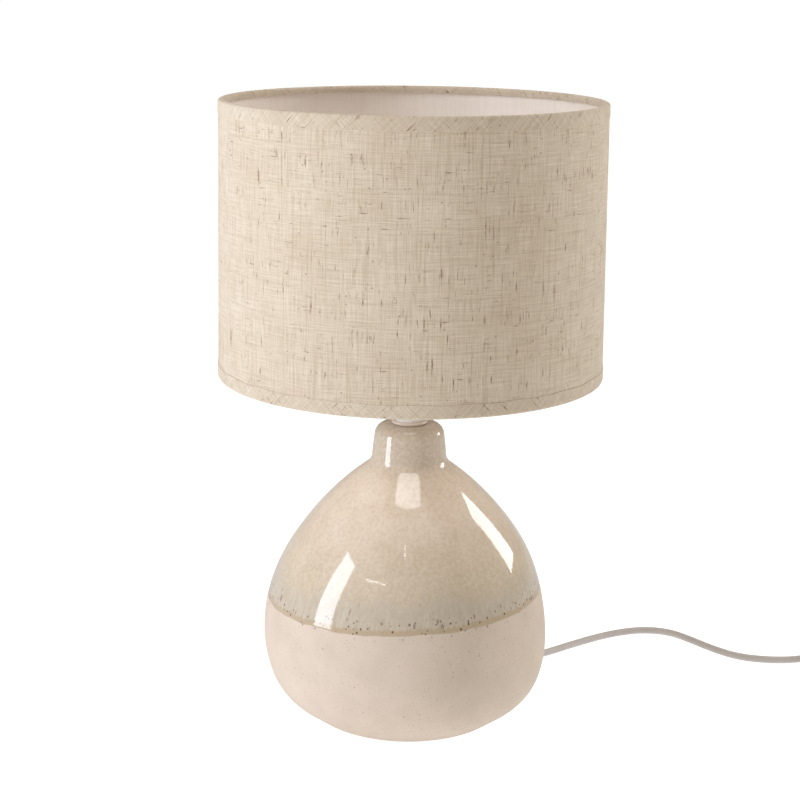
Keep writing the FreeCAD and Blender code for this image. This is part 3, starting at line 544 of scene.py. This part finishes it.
def tapered_tube(depth, bottom, top, sides, rows):
    """An open tapered tube at a depth under the shade's outside, cut into rows."""
    bare_scene()
    middle = (bottom + top) / 2
    bpy.ops.mesh.primitive_cylinder_add(vertices=sides, radius=1.0, depth=top - bottom,
                                        end_fill_type="NOTHING", location=(0, 0, middle))
    bpy.ops.object.transform_apply(location=True, rotation=True, scale=True)
    bpy.ops.object.mode_set(mode="EDIT")
    for height in (bottom, top):
        pick(lambda place: abs(place.z - height) < 0.0001)
        reach = shade_radius(height) - depth
        bpy.ops.transform.resize(value=(reach, reach, 1), center_override=(0, 0, 0))
    pick(lambda place: abs(place.z - middle) < 0.0001, "EDGE")
    bpy.ops.mesh.subdivide(number_cuts=rows)
    bpy.ops.mesh.select_all(action="SELECT")
    bpy.ops.mesh.normals_make_consistent(inside=False)
    bpy.ops.object.mode_set(mode="OBJECT")


def linen(name, turn, bold, ground):
    """Natural linen, with its threads along the round and the height, or turned on the bias."""
    material, shader = start_finish(name, Specular_IOR_Level=0.25, Sheen_Weight=0.12, Sheen_Roughness=0.5)
    axes = add_node(material, "SeparateXYZ", {}, {"Vector": places(material)})
    angle = reckon(material, "ARCTAN2", axes.outputs[0], scaled(material, axes.outputs[1], -1.0))
    round_it = scaled(material, angle, (TOP_RADIUS + BOTTOM_RADIUS) / 2)
    cloth = add_node(material, "CombineXYZ", {}, {0: round_it, 1: axes.outputs[2]}).outputs[0]
    cloth = add_node(material, "Mapping", {}, {"Vector": cloth, "Rotation": (0, 0, turn)}).outputs[0]

    def threads(stretch, shift, scale, detail=3.0, rough=0.6):
        """Noise drawn out along one of the threads."""
        feeds = {"Vector": cloth, "Scale": stretch, "Location": shift}
        where = add_node(material, "Mapping", {}, feeds).outputs[0]
        return cloud(material, where, scale, detail, rough)

    # Pale ground, drifting a little from patch to patch, with fine warp and weft over it.
    weft = threads((1, 0.035, 1), (3, 0, 0), 1400)
    warp = threads((0.035, 1, 1), (0, 7, 0), 1400)
    weave = reckon(material, "ADD", weft, warp)
    tone = cloud(material, cloth, 22, 4, 0.6)
    deep = (0.605 * ground, 0.508 * ground, 0.392 * ground)
    pale = (0.67 * ground, 0.577 * ground, 0.462 * ground)
    base = shades(material, tone, [(0.3, deep), (0.7, pale)])
    base = blend(material, fade(material, weave, 0.78, 1.08, 0.3 * bold, 0.0), base, (0.40, 0.31, 0.21))
    base = blend(material, fade(material, weave, 1.0, 1.3, 0.0, 0.35 * bold), base, (0.80, 0.715, 0.605))
    # Thin yarns, then slubs: short dark dashes along both threads that sit in loose clusters.
    patchy = fade(material, cloud(material, cloth, 75, 2), 0.35, 0.65, -0.03, 0.035)
    for along, shift, share in (((1, 0.02, 1), (1, 5, 0), 0.34), ((0.02, 1, 1), (2, 9, 0), 0.22)):
        yarn = threads(along, shift, 700, 2)
        base = blend(material, fade(material, yarn, 0.30, 0.46, share * bold, 0.0), base, (0.40, 0.31, 0.205))
    for along, shift, start in (((0.13, 1, 1), (11, 4, 0), 0.63), ((1, 0.12, 1), (6, 13, 0), 0.60)):
        slub = reckon(material, "ADD", threads(along, shift, 640, 3), patchy)
        slub = fade(material, slub, start, start + 0.15, 0.0, 0.85 * bold)
        base = blend(material, slub, base, (0.235, 0.155, 0.085))
    nep = spots(material, cloth, 380, 0.27, 0.17)
    base = blend(material, scaled(material, nep, 0.45 * bold), base, (0.17, 0.105, 0.055))
    join(material, base, shader, "Base Color")
    join(material, fade(material, weave, 0.7, 1.3, 0.95, 0.8), shader, "Roughness")
    # Relief: the weave's regular crossings under the uneven threads.
    rows = scaled(material, round_it, math.tau / THREAD_PITCH)
    lines = scaled(material, axes.outputs[2], math.tau / THREAD_PITCH)
    crossings = scaled(material, reckon(material, "SINE", rows), reckon(material, "SINE", lines))
    height = reckon(material, "ADD", weave, scaled(material, crossings, 0.18))
    join(material, relief(material, height, 0.00026, 0.9 * bold), shader, "Normal")
    return material


natural_linen = linen("natural_linen", turn=0.0, bold=1.15, ground=1.0)
tapered_tube(TAPE_DEPTH + 0.00037, SHADE_BOTTOM + EDGE_GAP, SHADE_TOP - EDGE_GAP, ROUND, 9)
apply_modifier("SOLIDIFY", "cloth_thickness", thickness=LINEN_DEPTH, offset=0.0)
bpy.ops.object.shade_smooth_by_angle(angle=math.radians(40))
shade_linen = named("shade_linen", natural_linen, "shade", "linen", "shade_fabric")

# Lap at the back: the linen's turned-in end, 8 mm wide (two of the drum's facets), glued over its start.
tapered_tube(TAPE_DEPTH, SHADE_BOTTOM + 0.009, SHADE_TOP - 0.009, ROUND, 5)
bpy.ops.object.mode_set(mode="EDIT")
pick(lambda middle: middle.y < 0.1 or abs(middle.x) > LAP_REACH, "FACE")
bpy.ops.mesh.delete(type="FACE")
bpy.ops.object.mode_set(mode="OBJECT")
apply_modifier("SOLIDIFY", "lap_thickness", thickness=LAP_DEPTH, offset=0.0)
apply_modifier("BEVEL", "lap_edge", width=0.00015, segments=2)
bpy.ops.object.shade_smooth_by_angle(angle=math.radians(40))
shade_lap = named("shade_lap", natural_linen, "shade", "linen")


# ---------------------------------------------------------------- shade lining
# White styrene lining behind the linen, faintly pink with its adhesive, with the weave showing through
# as a fine grid. It carries the cloth and keeps the drum round.
def lining_finish():
    """Matt laminate with the weave's grid pressed through it."""
    material, shader = start_finish("styrene_lining", Specular_IOR_Level=0.35, IOR=1.5)
    where = places(material)
    tone = cloud(material, where, 26, 3)
    tint = shades(material, tone, [(0.3, (0.89, 0.81, 0.74)), (0.7, (0.93, 0.86, 0.795))])
    through = cloud(material, places(material, (1, 1, 0.04)), 900, 2)
    tint = blend(material, fade(material, through, 0.4, 0.7, 0.0, 0.16), tint, (0.72, 0.62, 0.54))
    flecks = spots(material, places(material, (1, 1, 0.3)), 320, 0.4, 0.08)
    tint = blend(material, scaled(material, flecks, 0.25), tint, (0.42, 0.32, 0.24))
    join(material, tint, shader, "Base Color")
    join(material, fade(material, through, 0.3, 0.7, 0.62, 0.5), shader, "Roughness")
    join(material, relief(material, through, 0.00012), shader, "Normal")
    return material


tapered_tube(TAPE_DEPTH + 0.00102, SHADE_BOTTOM + EDGE_GAP, SHADE_TOP - EDGE_GAP, ROUND, 5)
apply_modifier("SOLIDIFY", "lining_thickness", thickness=LINING_DEPTH, offset=0.0)
bpy.ops.object.shade_smooth_by_angle(angle=math.radians(40))
shade_lining = named("shade_lining", lining_finish(), "shade", "liner", "shade_liner")


# ---------------------------------------------------------------- rim tapes
# Bias strips of the same linen, folded over each wire ring and glued down: a wide band outside, a soft
# fold over the edge and a narrow hem inside. The cut edge wavers a little from hand rolling.
BAND_WIDTH, HEM_WIDTH, HEM_INSET = 0.0085, 0.0044, 0.0049
WAVES = 23


def rim_tape(name, edge, inwards, material, node):
    """One tape, rolled over its rim from the outside band to the inside hem."""
    def level(distance):
        """A height so far into the shade from its rim."""
        return edge + inwards * distance

    def on_wave(place, wave, share):
        """True on the crests of one of the cut edge's two waves."""
        along = math.atan2(place.y, place.x) * WAVES + wave * 2
        return abs(place.z - outside) < 0.0003 and math.sin(along) > 1 - share

    outside, inside = level(BAND_WIDTH), level(HEM_WIDTH)
    skin = TAPE_DEPTH / 2
    band = shade_radius(outside) - skin
    out, hem = shade_radius(edge) - skin, shade_radius(edge) - HEM_INSET
    stations = [(band, outside), (band, outside - inwards * 0.003), (out, level(0.003)), (out, level(0.0013)),
                (out - 0.0003, level(0.0006)), (out - 0.001, level(skin)),
                (out - 0.0022, level(skin - 0.0001)), (out - 0.0034, level(skin)),
                (hem + 0.0003, level(0.0008)), (hem, level(0.0017)), (hem, inside)]
    start_ring(*stations[0], ROUND)
    follow_stations(stations)
    for wave, (lift, share) in enumerate([(0.00035, 0.3), (-0.0003, 0.22)]):
        pick(lambda place: on_wave(place, wave, share))
        bpy.ops.transform.translate(value=(0, 0, lift), use_proportional_edit=True,
                                    proportional_edit_falloff="SMOOTH", proportional_size=0.006)
    bpy.ops.mesh.select_all(action="SELECT")
    bpy.ops.mesh.normals_make_consistent(inside=False)
    bpy.ops.object.mode_set(mode="OBJECT")
    apply_modifier("SOLIDIFY", "tape_thickness", thickness=TAPE_DEPTH, offset=0.0)
    bpy.ops.object.shade_smooth_by_angle(angle=math.radians(50))
    return named(name, material, "shade", "bias_tape", node)


bias_linen = linen("bias_linen", turn=math.radians(45), bold=1.1, ground=0.965)
rim_tape_top = rim_tape("rim_tape_top", SHADE_TOP, -1, bias_linen, "top_tape")
rim_tape_bottom = rim_tape("rim_tape_bottom", SHADE_BOTTOM, 1, bias_linen, "bottom_tape")


# ---------------------------------------------------------------- CAD pieces and their finishes
# Turned, pressed and moulded parts keep the shapes they were drawn with and get their finishes here.
def finish_nodes(material, *nodes):
    """Give drawn pieces a finish."""
    for node in nodes:
        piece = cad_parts[node]
        piece.data.materials.clear()
        piece.data.materials.append(material)


def metal(name, colour, roughness, brushed=(1, 1, 1)):
    """Plated or drawn metal: fine draw lines, uneven gloss and a little dulling."""
    material, shader = start_finish(name, Metallic=1.0)
    tarnish = cloud(material, places(material), 160, 4, 0.6)
    dull = tuple(channel * 0.75 for channel in colour)
    join(material, shades(material, tarnish, [(0.35, dull), (0.7, colour)]), shader, "Base Color")
    lines = cloud(material, places(material, brushed), 2200, 2, 0.6)
    join(material, fade(material, lines, 0.3, 0.7, roughness - 0.05, roughness + 0.12), shader, "Roughness")
    join(material, relief(material, lines, 0.00003), shader, "Normal")
    return material


# Lampholder and its washer: cream thermoplastic, seen as a pale disc on the neck and from under the shade.
cream_plastic = moulded_plastic("cream_plastic", (0.78, 0.67, 0.58), 0.36, 0.00003)
finish_nodes(cream_plastic, "neck_washer")
holder_plastic = moulded_plastic("holder_plastic", (0.76, 0.73, 0.68), 0.4, 0.00004)
finish_nodes(holder_plastic, "holder_base", "holder_shell", "ring_nut")
terminal_ceramic = moulded_plastic("terminal_block", (0.72, 0.69, 0.62), 0.6, 0.00006)
finish_nodes(terminal_ceramic, "holder_core")
brass = metal("brass", (0.80, 0.60, 0.30), 0.28)
finish_nodes(brass, "centre_contact", "side_contact", "switch_contacts")

# Shade frame: galvanised wire rings and arms, and the pressed ring that sits on the holder.
zinc_wire = metal("zinc_wire", (0.66, 0.66, 0.65), 0.38, (1, 1, 0.2))
finish_nodes(zinc_wire, "top_wire_ring", "bottom_wire_ring", "carrier_ring", "spider_arm_1", "spider_arm_2",
             "spider_arm_3", "neck_tube", "steel_washer", "neck_nut", "terminal_screws", "switch_pivot",
             "switch_screws")


def opal_finish():
    """Opal polycarbonate: milky, a soft gloss and faint moulding flow."""
    material, shader = start_finish("opal_globe", Specular_IOR_Level=0.5, IOR=1.58, Sheen_Weight=0.1)
    where = places(material)
    flow = cloud(material, where, 40, 3)
    milk = shades(material, flow, [(0.3, (0.71, 0.69, 0.65)), (0.7, (0.76, 0.745, 0.71))])
    join(material, milk, shader, "Base Color")
    join(material, fade(material, cloud(material, where, 220, 3), 0.3, 0.7, 0.2, 0.3), shader, "Roughness")
    join(material, relief(material, cloud(material, where, 1800, 2), 0.00002), shader, "Normal")
    return material


# Bulb: opal globe, white driver collar, nickelled cap, black glass insulator and a soldered tip.
finish_nodes(opal_finish(), "bulb_globe")
finish_nodes(moulded_plastic("bulb_white", (0.80, 0.80, 0.78), 0.32, 0.00002), "bulb_collar")
nickel = metal("nickel", (0.72, 0.69, 0.64), 0.18)
finish_nodes(nickel, "bulb_screw_cap", "bulb_tip", "plug_pins")
finish_nodes(moulded_plastic("black_glass", (0.012, 0.012, 0.014), 0.12, 0.00001), "bulb_insulator")

# Switch, plug, bush and their reliefs: the cord maker's grey PVC and ABS, with a spark-eroded grain.
fitting_grey = moulded_plastic("fitting_grey", (0.54, 0.50, 0.475), 0.48, 0.00008)
finish_nodes(fitting_grey, "cord_bush", "switch_lower_shell", "switch_upper_shell", "plug_body",
             "plug_relief")
finish_nodes(moulded_plastic("rocker_grey", (0.46, 0.43, 0.41), 0.4, 0.00005), "switch_rocker")
finish_nodes(moulded_plastic("black_sleeve", (0.02, 0.02, 0.022), 0.4, 0.00004), "plug_sleeves")
finish_nodes(moulded_plastic("nylon_white", (0.74, 0.73, 0.69), 0.5, 0.00005), "bush_nut", "cord_stop",
             "switch_cord_clamps")
finish_nodes(moulded_plastic("black_rubber", (0.025, 0.025, 0.026), 0.7, 0.0001), "rubber_washer")
finish_nodes(grey_jacket, "inner_cord")
finish_nodes(moulded_plastic("brown_insulation", (0.13, 0.055, 0.025), 0.42, 0.00004), "live_wire")
finish_nodes(moulded_plastic("blue_insulation", (0.03, 0.11, 0.38), 0.42, 0.00004), "neutral_wire")


def pressed_fibre(name, pale, deep, scale, depth):
    """Felt or fibreboard: matted fibres, loose lint and a dead matt surface."""
    material, shader = start_finish(name, Specular_IOR_Level=0.2, Sheen_Weight=0.15)
    where = places(material)
    matted = cloud(material, where, scale, 5, 0.7)
    strands = cloud(material, places(material, (1, 0.15, 1), (0, 0, 0.6)), scale, 3, 0.6)
    mixed = scaled(material, reckon(material, "ADD", matted, strands), 0.5)
    tint = shades(material, mixed, [(0.35, deep), (0.65, pale)])
    lint = spots(material, where, scale * 0.6, 0.35, 0.07)
    join(material, blend(material, scaled(material, lint, 0.3), tint, pale), shader, "Base Color")
    join(material, fade(material, matted, 0.2, 0.8, 0.98, 0.86), shader, "Roughness")
    join(material, relief(material, mixed, depth), shader, "Normal")
    return material


# Underside: a hardboard cover glued into the foot, and a felt pad over it that keeps the table safe.
finish_nodes(pressed_fibre("hardboard", (0.30, 0.19, 0.10), (0.19, 0.11, 0.055), 700, 0.0002), "base_cover")
finish_nodes(pressed_fibre("beige_felt", (0.62, 0.53, 0.42), (0.46, 0.38, 0.29), 900, 0.0006), "felt_pad")


# ---------------------------------------------------------------- studio
# White sweep, a cool upright strip box on the left, its warmer twin behind on the right, a wide box
# overhead that looks down through the open shade, and two thin slits of light in front.
def soft_box(name, azimuth, elevation, distance, size, power, aim=(0, 0, 0.16), colour=(1, 1, 1)):
    """A rectangular area light; azimuth 0 is in front and 90 on the right."""
    light = bpy.data.lights.new(name, "AREA")
    light.shape = "RECTANGLE"
    light.size, light.size_y = size
    light.energy = power
    light.color = colour
    lamp = bpy.data.objects.new(name, light)
    across, up = math.radians(azimuth), math.radians(elevation)
    way = Vector((math.sin(across) * math.cos(up), -math.cos(across) * math.cos(up), math.sin(up)))
    lamp.location = Vector(aim) + way * distance
    lamp.rotation_mode = "QUATERNION"
    lamp.rotation_quaternion = way.to_track_quat("Z", "Y")
    bpy.context.scene.collection.objects.link(lamp)


soft_box("key_left", -68.5, 0, 1.5, (0.43, 1.31), 17.2, (0, 0, 0.675), (0.94, 1.0, 1.12))
soft_box("rim_right", 117, 0, 1.5, (0.44, 0.88), 10.5, (0, 0, 0.81))
soft_box("overhead", -5, 86, 2.4, (1.1, 1.1), 20)
soft_box("slit_upright", -4.5, 56, 1.5, (0.014, 0.2), 0.14, (0, -0.067, 0.132))
soft_box("slit_level", -33, 37, 1.5, (0.47, 0.014), 0.34, (-0.02, -0.076, 0.115))

# The sweep glows white, but its mirror image in the glaze is dimmer, so the pot keeps its dark edges.
SWEEP_GLOW, SWEEP_GLOW_MIRRORED = 0.92, 0.3
bare_scene()
bpy.ops.mesh.primitive_plane_add(size=120, location=(0, 0, -0.0002))
floor = bpy.context.object
floor.name = "floor"
floor_material, floor_shader = start_finish("white_sweep", Roughness=0.9, Specular_IOR_Level=0.0)
floor_shader.inputs["Base Color"].default_value = (0.35, 0.35, 0.35, 1)
floor_shader.inputs["Emission Color"].default_value = (1, 1, 1, 1)
mirrored = add_node(floor_material, "LightPath", {}, {}).outputs["Is Glossy Ray"]
glow = mix_values(floor_material, mirrored, SWEEP_GLOW, SWEEP_GLOW_MIRRORED)
join(floor_material, glow, floor_shader, "Emission Strength")
floor.data.materials.append(floor_material)

# A warm, even fill from all round.
world = bpy.data.worlds.new("studio")
world.use_nodes = True
fill = world.node_tree.nodes["Background"]
fill.inputs["Color"].default_value = (1.0, 0.89, 0.765, 1)
fill.inputs["Strength"].default_value = 0.345
bpy.context.scene.world = world
bpy.context.scene.view_settings.view_transform = "Standard"
bpy.context.scene.view_settings.look = "None"
